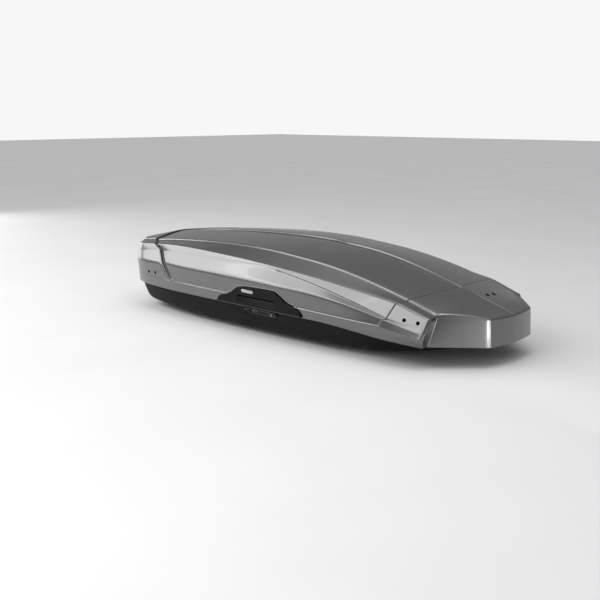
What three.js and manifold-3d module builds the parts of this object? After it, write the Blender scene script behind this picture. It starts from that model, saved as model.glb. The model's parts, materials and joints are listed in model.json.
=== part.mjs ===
// Roof cargo box: a two-shell car roof box that opens from either side.
// Millimetres. +X is the nose, +Y is left, +Z is up. The origin is the centre of the base's flat underside.
import * as THREE from "three";
import { ConvexGeometry } from "three/addons/geometries/ConvexGeometry.js";
import { mergeVertices } from "three/addons/utils/BufferGeometryUtils.js";
import Module from "manifold-3d";

const wasm = await Module();
wasm.setup();

// ---------------------------------------------------------------- driving dimensions
const RIM_Z = 110; // lower edge of the lid along the sides
const SKIRT_DROP = 50; // how much lower the lid's skirt hangs at the nose
const LID_WALL = 4;
const BASE_WALL = 3;
const BASE_TOP = 105; // upper edge of the base tub, inside the lid's skirt
const PIN_Y = 405; // hinge and latch pins, one line on each side
const PIN_Z = 112;
const PIN_R = 5;
const PIN_X = [-640, -250, 480]; // middle of each catch along a side
const LOCK_TRAVEL = 16; // slide of the lock bar
const CLAMP_X = [-480, 270]; // cross bars under the box
const CLAMP_Y = 215;
const LIFTER_X = [-900, 620];
const LIFTER_Y = 300; // both ends of a lifter, one left on the base, one right on the lid
const STRAP_X = [-120, 560];
const GAP = 0.4; // clearance between pieces that touch

// ---------------------------------------------------------------- materials
const finish = (color, roughness, metalness) => () =>
  new THREE.MeshStandardMaterial({ color, roughness, metalness });
const LID_PAINT = finish(0x77787a, 0.25, 0.6);
const TUB_PLASTIC = finish(0x151516, 0.65, 0);
const TRIM_PLASTIC = finish(0x0c0c0d, 0.4, 0);
const STEEL = finish(0x9a9c9f, 0.35, 1);
const ALUMINIUM = finish(0xb9bbbd, 0.4, 1);
const RED_PLASTIC = finish(0x7a1418, 0.5, 0);
const WEBBING = finish(0x2a2b2d, 0.9, 0);

// ---------------------------------------------------------------- solids
const cargoBox = new THREE.Group();
cargoBox.name = "roof_cargo_box";

function solid(geometry) {
  const plain = geometry.clone();
  plain.deleteAttribute("normal");
  plain.deleteAttribute("uv");
  const merged = mergeVertices(plain, 1e-4);
  return new wasm.Manifold(
    new wasm.Mesh({
      numProp: 3,
      vertProperties: new Float32Array(merged.attributes.position.array),
      triVerts: new Uint32Array(merged.index.array),
    }),
  );
}

function geometryOf(body) {
  const mesh = body.getMesh();
  const geometry = new THREE.BufferGeometry();
  geometry.setAttribute("position", new THREE.BufferAttribute(new Float32Array(mesh.vertProperties), 3));
  geometry.setIndex(new THREE.BufferAttribute(new Uint32Array(mesh.triVerts), 1));
  return geometry;
}

function piece(name, body, material) {
  const mesh = new THREE.Mesh(geometryOf(body), material());
  mesh.name = name;
  cargoBox.add(mesh);
  return mesh;
}

// A box from its lowest to its highest corner.
function block(x0, x1, y0, y1, z0, z1) {
  const [ya, yb] = y0 < y1 ? [y0, y1] : [y1, y0];
  const geometry = new THREE.BoxGeometry(x1 - x0, yb - ya, z1 - z0);
  geometry.translate((x0 + x1) / 2, (ya + yb) / 2, (z0 + z1) / 2);
  return solid(geometry);
}

// A rod along an axis, centred on a point.
function rod(axis, x, y, z, radius, length, sides = 24, endRadius = radius) {
  const geometry = new THREE.CylinderGeometry(endRadius, radius, length, sides);
  if (axis === "x") geometry.rotateZ(-Math.PI / 2);
  if (axis === "z") geometry.rotateX(Math.PI / 2);
  geometry.translate(x, y, z);
  return solid(geometry);
}

// An outline of [x, z] points, swept along Y between two places.
function prismY(outline, y0, y1) {
  const [ya, yb] = y0 < y1 ? [y0, y1] : [y1, y0];
  const shape = new THREE.Shape(outline.map(([x, z]) => new THREE.Vector2(x, z)));
  const geometry = new THREE.ExtrudeGeometry(shape, { depth: yb - ya, bevelEnabled: false });
  geometry.rotateX(Math.PI / 2);
  geometry.translate(0, yb, 0);
  return solid(geometry);
}

// An outline of [y, z] points, swept along X between two places.
function prismX(outline, x0, x1) {
  const shape = new THREE.Shape(outline.map(([y, z]) => new THREE.Vector2(y, z)));
  const geometry = new THREE.ExtrudeGeometry(shape, { depth: x1 - x0, bevelEnabled: false });
  geometry.applyMatrix4(new THREE.Matrix4().set(0, 0, 1, x0, 1, 0, 0, 0, 0, 1, 0, 0, 0, 0, 0, 1));
  return solid(geometry);
}

function hull(points) {
  return solid(new ConvexGeometry(points.map(([x, y, z]) => new THREE.Vector3(x, y, z))));
}

function both(points) {
  return points.flatMap(([x, y, z]) => [
    [x, y, z],
    [x, -y, z],
  ]);
}

const sum = (bodies) => bodies.reduce((all, next) => all.add(next));

// ---------------------------------------------------------------- lid
// Half sections from the rear to the nose:
// [x, ridge z, shoulder y, z, upper side y, z, lower side y, z, rim y].
const LID_SECTIONS = [
  [-1130, 342, 262, 320, 318, 298, 330, 215, 320],
  [-1098, 347, 300, 325, 354, 304, 382, 222, 374],
  [-980, 360, 306, 339, 380, 317, 418, 230, 421],
  [-700, 382, 312, 359, 399, 340, 444, 240, 449],
  [-350, 397, 316, 376, 405, 336, 452.5, 240, 457.5],
  [-100, 399, 318, 374, 406, 324, 452.5, 237, 457.5],
  [300, 376, 318, 340, 402, 288, 452.5, 226, 457.5],
  [500, 336, 318, 304, 394, 262, 441, 203, 448],
  [700, 281, 318, 255, 386, 236, 425, 162, 434],
  [850, 239, 306, 205, 368, 190, 404, 132, 412],
];
// The nose: an upright fascia with a corner on each side of a slightly bowed front.
const NOSE_TOP = [
  [877, 300, 190],
  [1040, 168, 175],
  [1060, 0, 165],
];
const NOSE_FOOT = [
  [880, 335, 60],
  [1046, 168, 57],
  [1066, 0, 57],
];

function lidOuter(inset) {
  const points = [];
  for (const [x, ridge, sy, sz, by, bz, cy, cz, ry] of LID_SECTIONS) {
    const px = x < -1000 ? x + inset : x;
    points.push([px, 0, ridge - inset]);
    points.push(...both([[px, sy - inset * 0.6, sz - inset]]));
    points.push(...both([[px, by - inset, bz - inset * 0.6]]));
    points.push(...both([[px, cy - inset, cz]]));
    points.push(...both([[px, ry - inset, RIM_Z]]));
    points.push(...both([[px, ry - inset, RIM_Z - SKIRT_DROP - inset * 5]]));
  }
  for (const [x, y, z] of NOSE_TOP) points.push(...both([[x - inset, y, z - inset]]));
  for (const [x, y, z] of NOSE_FOOT) points.push(...both([[x - inset, y, z - inset * 5]]));
  return hull(points);
}

// Everything below the lid's lower edge, which steps down from the sides to the nose.
function belowRim() {
  const outline = [
    [-1200, -50],
    [1200, -50],
    [1200, RIM_Z - SKIRT_DROP],
    [850, RIM_Z - SKIRT_DROP],
    [400, RIM_Z],
    [-1200, RIM_Z],
  ];
  return prismY(outline, -600, 600);
}

// ---------------------------------------------------------------- handle trim
const TRIM_OUTLINE = [
  [-306, 112],
  [-284, 146],
  [-223, 153],
  [-173, 188],
  [-150, 200],
  [66, 205],
  [98, 198],
  [165, 158],
  [212, 154],
  [246, 132],
  [258, 112],
];
const TRIM_INNER_Y = 458;
const TRIM_OUTER_Y = 466;
const POCKET = { x0: -165, x1: 88, z0: 150, z1: 184, depth: 30 };

function lid() {
  let shell = lidOuter(0).subtract(lidOuter(LID_WALL)).subtract(belowRim());
  for (const side of [-1, 1]) {
    const cut = block(
      POCKET.x0 - GAP,
      POCKET.x1 + GAP,
      side * (TRIM_INNER_Y + 5),
      side * (TRIM_INNER_Y - 25),
      POCKET.z0 - GAP,
      POCKET.z1 + GAP,
    );
    shell = shell.subtract(cut);
  }
  piece("lid_shell", shell, LID_PAINT);
}

function handleTrim(name, side) {
  const plate = prismY(TRIM_OUTLINE, side * TRIM_INNER_Y, side * TRIM_OUTER_Y);
  const tub = block(
    POCKET.x0,
    POCKET.x1,
    side * (TRIM_INNER_Y + 2),
    side * (TRIM_INNER_Y - POCKET.depth),
    POCKET.z0,
    POCKET.z1,
  );
  const scoop = block(
    POCKET.x0 + 4,
    POCKET.x1 - 4,
    side * (TRIM_OUTER_Y + 5),
    side * (TRIM_INNER_Y + 3),
    124,
    160,
  );
  const fingers = block(
    POCKET.x0 + 4,
    POCKET.x1 - 4,
    side * (TRIM_OUTER_Y + 5),
    side * (TRIM_INNER_Y - POCKET.depth + 3),
    POCKET.z0 + 3,
    160,
  );
  const upper = block(
    POCKET.x0 + 4,
    POCKET.x1 - 4,
    side * (TRIM_INNER_Y - 6),
    side * (TRIM_INNER_Y - POCKET.depth + 3),
    POCKET.z0 + 3,
    POCKET.z1 - 3,
  );
  piece(name, plate.add(tub).subtract(scoop).subtract(fingers).subtract(upper), TRIM_PLASTIC);
}

// ---------------------------------------------------------------- lid frame, ears and pins
const EAR_X = [-16, 16]; // ears on each side of a catch, from its middle
const EAR_T = 4;
const PIN_LENGTH = { from: -22, to: 34 };

function earPlate(x, side) {
  return block(x - EAR_T / 2, x + EAR_T / 2, side * (PIN_Y - 9), side * (PIN_Y + 9), PIN_Z - 9, PIN_Z + 15);
}

function lidSideFrame(name, side) {
  const rail = block(-860, 620, side * (PIN_Y - 18), side * (PIN_Y + 14), PIN_Z + 14, PIN_Z + 26);
  const parts = [rail];
  for (const x of PIN_X) {
    for (const ear of EAR_X) {
      parts.push(earPlate(x + ear, side));
    }
  }
  // arms out to the lid's wall, where the frame is bonded on
  for (const x of [-800, -440, 330, 560]) {
    const reach = x === -800 || x === 560 ? 424 : 432;
    parts.push(block(x - 30, x + 30, side * PIN_Y, side * reach, PIN_Z + 22, PIN_Z + 26));
  }
  let frame = sum(parts);
  for (const x of PIN_X) frame = frame.subtract(rod("x", x, side * PIN_Y, PIN_Z, PIN_R + GAP, 60));
  piece(name, frame, TUB_PLASTIC);
}

function pins(prefix, side) {
  PIN_X.forEach((x, i) => {
    const middle = x + (PIN_LENGTH.from + PIN_LENGTH.to) / 2;
    const pin = rod("x", middle, side * PIN_Y, PIN_Z, PIN_R, PIN_LENGTH.to - PIN_LENGTH.from);
    piece(`${prefix}_${["rear", "middle", "front"][i]}`, pin, STEEL);
  });
}

function lidStiffener(name, x, halfWidth, z) {
  const spread = 60;
  const outline = [
    [-halfWidth, z - 24],
    [-halfWidth + 26, z - 24],
    [-30, z + 2],
    [30, z + 2],
    [halfWidth - 26, z - 24],
    [halfWidth, z - 24],
    [halfWidth, z - 18],
    [30, z + 8],
    [-30, z + 8],
    [-halfWidth, z - 18],
  ];
  piece(name, prismX(outline, x - spread / 2, x + spread / 2), TUB_PLASTIC);
}

// ---------------------------------------------------------------- base tub
const BASE_RIM = [
  [-1088, 290],
  [-1048, 358],
  [-955, 405],
  [-660, 438],
  [-300, 446],
  [300, 446],
  [540, 436],
  [640, 400],
  [800, 345],
  [940, 250],
  [1010, 110],
];
const BASE_FLOOR = [
  [-1010, 262],
  [-965, 328],
  [-870, 366],
  [-600, 398],
  [-300, 408],
  [300, 400],
  [480, 366],
  [600, 340],
];
const BASE_PROW = [
  [800, 290, 22],
  [920, 200, 44],
  [985, 90, 60],
];
const LOCK_BAY = { x0: -132, x1: 84, z0: 56, z1: 101 };
// Each clamp slides 60 mm either way, so the claws need long slots in the floor.
const FLOOR_SLOT = { halfLength: 150, halfWidth: 19 };
const RAIL_X = [-650, 440];

function baseOuter(inset, top) {
  const points = [];
  for (const [x, y] of BASE_RIM) points.push(...both([[trimX(x, inset), y - inset, top]]));
  for (const [x, y] of BASE_FLOOR) points.push(...both([[trimX(x, inset), y - inset, inset]]));
  for (const [x, y, z] of BASE_PROW) points.push(...both([[x - inset, y - inset, z + inset]]));
  return hull(points);
}

// The end stations move in by the wall's thickness; the ones between stay.
function trimX(x, inset) {
  if (x < -1000) return x + inset;
  if (x > 900) return x - inset;
  return x;
}

function base() {
  let tub = baseOuter(0, BASE_TOP).subtract(baseOuter(BASE_WALL, BASE_TOP + 1));
  for (const side of [-1, 1]) {
    const bay = block(
      LOCK_BAY.x0 - GAP,
      LOCK_BAY.x1 + GAP,
      side * 500,
      side * 414,
      LOCK_BAY.z0 - GAP,
      LOCK_BAY.z1 + GAP,
    );
    tub = tub.subtract(bay);
    for (const x of CLAMP_X) {
      const slot = block(
        x - FLOOR_SLOT.halfLength,
        x + FLOOR_SLOT.halfLength,
        side * (CLAMP_Y - FLOOR_SLOT.halfWidth),
        side * (CLAMP_Y + FLOOR_SLOT.halfWidth),
        -5,
        10,
      );
      tub = tub.subtract(slot);
    }
  }
  piece("base_shell", tub, TUB_PLASTIC);
}

function floorRail(name, side) {
  const strip = (from, to, height) =>
    block(...RAIL_X, side * (CLAMP_Y + from), side * (CLAMP_Y + to), BASE_WALL + GAP, BASE_WALL + height);
  let rail = strip(-52, 52, 5).add(strip(-52, -47, 15)).add(strip(47, 52, 15));
  for (const x of CLAMP_X) {
    const slot = block(
      x - FLOOR_SLOT.halfLength,
      x + FLOOR_SLOT.halfLength,
      side * (CLAMP_Y - FLOOR_SLOT.halfWidth),
      side * (CLAMP_Y + FLOOR_SLOT.halfWidth),
      0,
      10,
    );
    rail = rail.subtract(slot);
  }
  piece(name, rail, ALUMINIUM);
}

function catchRail(name, side) {
  const rail = block(-665, 505, side * (PIN_Y - 12), side * (PIN_Y - 2), 62, 74);
  const parts = [rail];
  for (const x of PIN_X) {
    parts.push(block(x - 11, x + 11, side * (PIN_Y - 12), side * (PIN_Y - 2), 62, 80));
    parts.push(block(x - 11, x + 11, side * (PIN_Y - 12), side * (PIN_Y + 10), 77, PIN_Z + 3));
  }
  let body = sum(parts);
  for (const x of PIN_X) {
    body = body.subtract(rod("x", x, side * PIN_Y, PIN_Z, PIN_R + GAP, 40));
    body = body.subtract(
      block(x - 20, x + 20, side * (PIN_Y - PIN_R - GAP), side * (PIN_Y + PIN_R + GAP), PIN_Z, PIN_Z + 20),
    );
  }
  piece(name, body, STEEL);
}

// ---------------------------------------------------------------- lock
const SLIDER_X = -62;
const KEY_X = 43;
const KEY_Z = 88;
const KEY_R = 7;

function lockHousing(name, side) {
  const outline = [
    [434, LOCK_BAY.z0],
    [432, 70],
    [434.5, 76.5],
    [441, 82.5],
    [446, 90.5],
    [449, LOCK_BAY.z1],
    [430, LOCK_BAY.z1],
    [420, 90],
    [420, LOCK_BAY.z0],
  ].map(([y, z]) => [side * y, z]);
  let body = prismX(side > 0 ? outline : outline.reverse(), LOCK_BAY.x0, LOCK_BAY.x1);
  body = body.subtract(block(SLIDER_X - 22 - LOCK_TRAVEL, SLIDER_X + 22, side * 460, side * 410, 85, 99));
  body = body.subtract(rod("y", KEY_X, side * 435, KEY_Z, KEY_R + GAP, 60));
  piece(name, body, TRIM_PLASTIC);
}

function lockSlider(name, side) {
  const stem = block(SLIDER_X - 8, SLIDER_X + 8, side * 393.4, side * 438, 87, 96);
  const face = block(SLIDER_X - 20, SLIDER_X + 20, side * 434, side * 443, 86.5, 98);
  const grip = block(SLIDER_X - 4, SLIDER_X + 4, side * 440, side * 447, 90, 98);
  piece(name, stem.add(face).add(grip), TRIM_PLASTIC);
}

function lockBar(name, side) {
  const inner = PIN_Y - 16;
  const bar = block(-700, 540, side * (inner - 8), side * (inner - 2), 84, 96);
  const parts = [bar];
  for (const x of PIN_X) {
    const from = x + PIN_LENGTH.to + 3;
    parts.push(block(from, from + 10, side * (inner - 8), side * (inner + 2), 84, PIN_Z + 11));
    parts.push(block(from, from + 10, side * (inner - 8), side * (PIN_Y + 4), PIN_Z + 7.5, PIN_Z + 11));
  }
  parts.push(block(SLIDER_X - 12, SLIDER_X + 12, side * (inner - 8), side * (inner + 4), 84, 96));
  piece(name, sum(parts), STEEL);
}

function keyCylinder(name, side) {
  const barrel = rod("y", KEY_X, side * 426, KEY_Z, KEY_R, 26);
  const keyway = block(KEY_X - 1.2, KEY_X + 1.2, side * 434, side * 445, KEY_Z - 5, KEY_Z + 5);
  piece(name, barrel.subtract(keyway), STEEL);
}

// ---------------------------------------------------------------- bar clamps
const CLAW_PIVOT_X = 58;
const CLAW_PIVOT_Z = 18;

function clamp(tag, x, side) {
  const y = side * CLAMP_Y;
  const w = 46;
  let housing = block(x - 72, x + 72, y - w, y + w, 8.5, 40);
  const roomFront = block(x + 30, x + 90, y - 16, y + 16, 0, 34);
  const roomRear = block(x - 90, x - 30, y - 16, y + 16, 0, 34);
  housing = housing.subtract(roomFront).subtract(roomRear);
  housing = housing.subtract(rod("z", x, y, 40, 9 + GAP, 24));
  const neck = block(x - 29, x + 29, y - 18, y + 18, 1, 12);
  for (const end of [-1, 1]) {
    const hinge = rod("y", x + end * CLAW_PIVOT_X, y, CLAW_PIVOT_Z, 3.4, 2 * w + 10, 16);
    housing = housing.subtract(hinge);
  }
  piece(`clamp_housing_${tag}`, housing.add(neck), TRIM_PLASTIC);

  const stem = rod("z", x, y, 38, 9, 19);
  const cap = rod("z", x, y, 49.5, 30, 18, 32, 27);
  let knob = stem.add(cap);
  for (let i = 0; i < 6; i++) {
    const a = (i * Math.PI) / 3;
    knob = knob.subtract(rod("z", x + 33 * Math.cos(a), y + 33 * Math.sin(a), 50, 8, 40, 16));
  }
  piece(`clamp_knob_${tag}`, knob, RED_PLASTIC);

  for (const end of [-1, 1]) {
    const px = x + end * CLAW_PIVOT_X;
    const outline = [
      [-7, 8],
      [6, 8],
      [9, 0],
      [9, -30],
      [2, -50],
      [-26, -50],
      [-26, -44],
      [-4, -42],
      [-1, -30],
      [-2, -14],
      [-7, -4],
    ].map(([dx, dz]) => [px + end * dx, CLAW_PIVOT_Z + dz]);
    let claw = prismY(end > 0 ? outline.reverse() : outline, y - 14, y + 14);
    claw = claw.add(rod("y", px, y, CLAW_PIVOT_Z, 3, 2 * w - 4, 16));
    piece(`clamp_claw_${end > 0 ? "front" : "rear"}_${tag}`, claw, STEEL);
  }
}

// ---------------------------------------------------------------- lid lifters
const LIFTER_R = 9;
const TUBE_LENGTH = 330;
const EYE_R = 9;
const SHAFT_R = 5;
const OVERLAP = 60; // how far the rod reaches into the tube at rest
const JOIN = 27; // from a pivot to where the tube or the rod begins

function lifter(tag, x) {
  const far = -LIFTER_Y;
  const upright = block(x - 30, x - 14, LIFTER_Y - 14, LIFTER_Y + 14, BASE_WALL + 6, PIN_Z + 10);
  const stud = rod("x", x - 4, LIFTER_Y, PIN_Z, 4, 32);
  piece(`lifter_bracket_base_${tag}`, upright.add(stud), STEEL);

  const shank = block(x - 6, x + 6, LIFTER_Y - 26, LIFTER_Y - 4, PIN_Z - 6, PIN_Z + 6);
  const yoke = rod("x", x, LIFTER_Y, PIN_Z, EYE_R, 12).add(shank);
  piece(`lifter_yoke_${tag}`, yoke.subtract(rod("x", x, LIFTER_Y, PIN_Z, 4 + GAP, 40)), TRIM_PLASTIC);

  const tubeMiddle = LIFTER_Y - JOIN - TUBE_LENGTH / 2;
  const tube = rod("y", x, tubeMiddle, PIN_Z, LIFTER_R, TUBE_LENGTH, 24);
  const bore = rod("y", x, tubeMiddle - 8, PIN_Z, SHAFT_R + GAP, TUBE_LENGTH, 24);
  piece(`lifter_tube_${tag}`, tube.subtract(bore), TUB_PLASTIC);

  const rodFrom = LIFTER_Y - JOIN - TUBE_LENGTH + OVERLAP;
  const rodTo = far + JOIN;
  piece(`lifter_rod_${tag}`, rod("y", x, (rodFrom + rodTo) / 2, PIN_Z, SHAFT_R, rodFrom - rodTo), STEEL);

  const eyeShank = block(x - 6, x + 6, far + 4, far + 26, PIN_Z - 6, PIN_Z + 6);
  piece(`lifter_eye_${tag}`, rod("x", x, far, PIN_Z, EYE_R, 12).add(eyeShank), TRIM_PLASTIC);

  const arm = block(x - 34, x - 10, -(PIN_Y - 19), far + 8, PIN_Z + 16, PIN_Z + 24);
  const ear = block(x - 14, x - 8, far - 10, far + 10, PIN_Z - 10, PIN_Z + 20);
  piece(`lifter_bracket_lid_${tag}`, arm.add(ear), STEEL);
}

// ---------------------------------------------------------------- luggage straps
const STRAP_WIDTH = 38;
const STRAP_T = 2;

function strap(tag, x) {
  const band = block(x - STRAP_WIDTH / 2, x + STRAP_WIDTH / 2, -290, 290, 20, 20 + STRAP_T);
  piece(`luggage_strap_${tag}`, band, WEBBING);
  let buckle = block(x - 27, x + 27, -35, 35, 22.5, 34);
  for (const from of [-22, 12]) buckle = buckle.subtract(block(x - 18, x + 18, from, from + 10, 10, 40));
  piece(`strap_buckle_${tag}`, buckle, TRIM_PLASTIC);
}

// ---------------------------------------------------------------- assembly
base();
lid();
lidStiffener("lid_stiffener_rear", -560, 288, 350);
lidStiffener("lid_stiffener_front", 180, 288, 345);
for (const [word, side] of [
  ["right", -1],
  ["left", 1],
]) {
  handleTrim(`handle_trim_${word}`, side);
  lidSideFrame(`lid_side_frame_${word}`, side);
  pins(`hinge_pin_${word}`, side);
  floorRail(`floor_rail_${word}`, side);
  catchRail(`catch_rail_${word}`, side);
  lockHousing(`lock_housing_${word}`, side);
  lockSlider(`lock_slider_${word}`, side);
  lockBar(`lock_bar_${word}`, side);
  keyCylinder(`key_cylinder_${word}`, side);
  clamp(`rear_${word}`, CLAMP_X[0], side);
  clamp(`front_${word}`, CLAMP_X[1], side);
}
["rear", "front"].forEach((word, i) => {
  lifter(word, LIFTER_X[i]);
  strap(word, STRAP_X[i]);
});

export default cargoBox;
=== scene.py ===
import json
import math

import bmesh
import bpy
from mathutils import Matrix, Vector


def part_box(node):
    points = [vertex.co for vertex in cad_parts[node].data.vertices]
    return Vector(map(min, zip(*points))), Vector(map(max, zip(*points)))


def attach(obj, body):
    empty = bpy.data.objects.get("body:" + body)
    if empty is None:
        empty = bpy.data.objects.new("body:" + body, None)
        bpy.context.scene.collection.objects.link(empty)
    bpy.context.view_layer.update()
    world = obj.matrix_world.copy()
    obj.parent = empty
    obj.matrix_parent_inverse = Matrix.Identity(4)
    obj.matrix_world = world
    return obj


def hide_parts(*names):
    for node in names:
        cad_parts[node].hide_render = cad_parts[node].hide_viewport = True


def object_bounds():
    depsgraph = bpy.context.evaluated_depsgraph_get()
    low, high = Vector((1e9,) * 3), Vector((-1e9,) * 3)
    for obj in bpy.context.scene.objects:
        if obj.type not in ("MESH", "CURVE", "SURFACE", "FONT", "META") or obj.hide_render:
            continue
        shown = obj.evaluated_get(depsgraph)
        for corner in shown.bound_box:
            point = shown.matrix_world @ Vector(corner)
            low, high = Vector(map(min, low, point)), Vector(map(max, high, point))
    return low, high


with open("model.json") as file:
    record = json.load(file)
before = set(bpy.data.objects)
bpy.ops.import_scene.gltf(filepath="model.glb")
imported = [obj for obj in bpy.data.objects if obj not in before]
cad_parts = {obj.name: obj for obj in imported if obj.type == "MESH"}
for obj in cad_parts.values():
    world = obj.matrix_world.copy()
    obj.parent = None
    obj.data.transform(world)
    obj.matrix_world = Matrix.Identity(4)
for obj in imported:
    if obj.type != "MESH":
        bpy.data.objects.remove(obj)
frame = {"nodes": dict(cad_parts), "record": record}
cad_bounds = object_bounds()
NODES = frame["nodes"]

# ---------------------------------------------------------------- driving values, metres
CAMERA_AT = (2.8826, -3.2592, 1.0004)
CAMERA_TURN = 43.26  # degrees from looking along +Y
CAMERA_TILT = 11.9  # degrees down
LENS_MM = 53.0
FLOOR_Z = cad_bounds[0][2] - 0.0005
FLOOR_HALF = 30

RIM_Z = 0.110
LID_WALL = 0.003
TUB_WALL = 0.003
CAD_BEVEL = 0.0007
WELD_REACH = 1e-6

# the studio's brightness at each height, from the horizon (0) to overhead (1)
SKY = [(0.0, 0.35), (0.60, 0.32), (0.75, 0.50), (0.90, 1.0), (1.0, 1.05)]
BACKDROP = 0.93  # the brightness of the backdrop itself


# ---------------------------------------------------------------- camera, floor, lights
def add_camera():
    data = bpy.data.cameras.new("camera")
    data.lens = LENS_MM
    data.sensor_width = 36
    camera = bpy.data.objects.new("camera", data)
    camera.location = CAMERA_AT
    camera.rotation_euler = (math.radians(90 - CAMERA_TILT), 0, math.radians(CAMERA_TURN))
    bpy.context.scene.collection.objects.link(camera)
    bpy.context.scene.camera = camera


def add_light(name, at, aim, size, power, shape=(1, 1)):
    data = bpy.data.lights.new(name, "AREA")
    data.shape = "RECTANGLE"
    data.size = size * shape[0]
    data.size_y = size * shape[1]
    data.energy = power
    light = bpy.data.objects.new(name, data)
    light.location = at
    light.rotation_euler = (Vector(aim) - Vector(at)).to_track_quat("-Z", "Y").to_euler()
    bpy.context.scene.collection.objects.link(light)
    return light


def add_world():
    """A grey studio with a bright ceiling, in front of a pale backdrop."""
    world = bpy.data.worlds.new("studio")
    bpy.context.scene.world = world
    world.use_nodes = True
    nodes, links = world.node_tree.nodes, world.node_tree.links
    coords = nodes.new("ShaderNodeTexCoord")
    split = nodes.new("ShaderNodeSeparateXYZ")
    links.new(coords.outputs["Generated"], split.inputs["Vector"])
    ramp = nodes.new("ShaderNodeValToRGB")
    links.new(split.outputs["Z"], ramp.inputs["Fac"])
    while len(ramp.color_ramp.elements) < len(SKY):
        ramp.color_ramp.elements.new(0.5)
    for element, (height, level) in zip(ramp.color_ramp.elements, SKY):
        element.position = height
        element.color = (level, level, level * 1.01, 1)
    studio = nodes["Background"]
    links.new(ramp.outputs["Color"], studio.inputs["Color"])
    backdrop = nodes.new("ShaderNodeBackground")
    backdrop.inputs["Color"].default_value = (BACKDROP, BACKDROP, BACKDROP, 1)
    path = nodes.new("ShaderNodeLightPath")
    mix = nodes.new("ShaderNodeMixShader")
    links.new(path.outputs["Is Camera Ray"], mix.inputs["Fac"])
    links.new(studio.outputs["Background"], mix.inputs[1])
    links.new(backdrop.outputs["Background"], mix.inputs[2])
    links.new(mix.outputs["Shader"], nodes["World Output"].inputs["Surface"])


# ---------------------------------------------------------------- node materials
class Shade:
    """A Principled material with a few procedural helpers."""

    def __init__(self, name, **sockets):
        self.material = bpy.data.materials.new(name)
        self.material.use_nodes = True
        self.nodes = self.material.node_tree.nodes
        self.links = self.material.node_tree.links
        self.shader = self.nodes["Principled BSDF"]
        self.coords = self.nodes.new("ShaderNodeTexCoord").outputs["Object"]
        self.height = None
        for socket, value in sockets.items():
            self.shader.inputs[socket.replace("_", " ")].default_value = value

    def noise(self, scale, detail=4, roughness=0.55, stretch=None):
        node = self.nodes.new("ShaderNodeTexNoise")
        node.inputs["Scale"].default_value = scale
        node.inputs["Detail"].default_value = detail
        node.inputs["Roughness"].default_value = roughness
        source = self.coords
        if stretch:
            mapping = self.nodes.new("ShaderNodeMapping")
            mapping.inputs["Scale"].default_value = stretch
            self.links.new(source, mapping.inputs["Vector"])
            source = mapping.outputs["Vector"]
        self.links.new(source, node.inputs["Vector"])
        return node.outputs["Fac"]

    def cells(self, scale):
        node = self.nodes.new("ShaderNodeTexVoronoi")
        node.inputs["Scale"].default_value = scale
        self.links.new(self.coords, node.inputs["Vector"])
        return node.outputs["Distance"]

    def wave(self, scale, direction="X", distortion=0.0):
        node = self.nodes.new("ShaderNodeTexWave")
        node.bands_direction = direction
        node.inputs["Scale"].default_value = scale
        node.inputs["Distortion"].default_value = distortion
        self.links.new(self.coords, node.inputs["Vector"])
        return node.outputs["Fac"]

    def ramp(self, source, low, high, stops=(0.3, 0.7)):
        node = self.nodes.new("ShaderNodeValToRGB")
        for element, at, colour in zip(node.color_ramp.elements, stops, (low, high)):
            element.position = at
            element.color = (*colour, 1) if len(colour) == 3 else colour
        self.links.new(source, node.inputs["Fac"])
        return node.outputs["Color"]

    def colour(self, source, low, high, stops=(0.3, 0.7)):
        self.links.new(self.ramp(source, low, high, stops), self.shader.inputs["Base Color"])
        return self

    def roughness(self, source, low, high):
        node = self.nodes.new("ShaderNodeMapRange")
        node.inputs["To Min"].default_value = low
        node.inputs["To Max"].default_value = high
        self.links.new(source, node.inputs["Value"])
        self.links.new(node.outputs["Result"], self.shader.inputs["Roughness"])
        return self

    def bump(self, source, strength, distance):
        node = self.nodes.new("ShaderNodeBump")
        node.inputs["Strength"].default_value = strength
        node.inputs["Distance"].default_value = distance
        self.links.new(source, node.inputs["Height"])
        if self.height:
            self.links.new(self.height, node.inputs["Normal"])
        self.height = node.outputs["Normal"]
        self.links.new(self.height, self.shader.inputs["Normal"])
        return self


def grey(value, warm=0.0):
    return (value * (1 + warm), value, value * (1 - warm))


def lid_paint():
    """Glossy metallic grey sheet: fine flakes under a clear gloss."""
    shade = Shade("lid_paint", Metallic=1.0, Coat_Weight=0.5, Coat_Roughness=0.06)
    flakes = shade.noise(2600, detail=2)
    shade.colour(flakes, grey(0.150), grey(0.190), (0.35, 0.65))
    shade.roughness(shade.noise(9, detail=5), 0.25, 0.31)
    shade.bump(flakes, 0.05, 0.0003)
    return shade.material


def grained_plastic(name, base, rough=(0.5, 0.66), grain=700, depth=0.5, gloss=0.5):
    """Black moulded plastic with a leathery grain."""
    shade = Shade(name, Specular_IOR_Level=gloss)
    shade.colour(shade.noise(7, detail=6), grey(base * 0.8), grey(base * 1.35))
    shade.roughness(shade.noise(30, detail=3), *rough)
    shade.bump(shade.cells(grain), depth, 0.0006)
    shade.bump(shade.noise(grain * 0.4, detail=3), depth * 0.5, 0.0006)
    return shade.material


def plated_steel(name, base=0.42, rough=(0.24, 0.42)):
    """Zinc-plated or drawn metal with fine lines along X."""
    shade = Shade(name, Metallic=1.0)
    lines = shade.noise(60, detail=8, roughness=0.7, stretch=(0.6, 14, 14))
    shade.colour(lines, grey(base * 0.8, 0.02), grey(base * 1.15, -0.01))
    shade.roughness(shade.noise(45, detail=5), *rough)
    shade.bump(lines, 0.12, 0.0003)
    return shade.material


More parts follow.
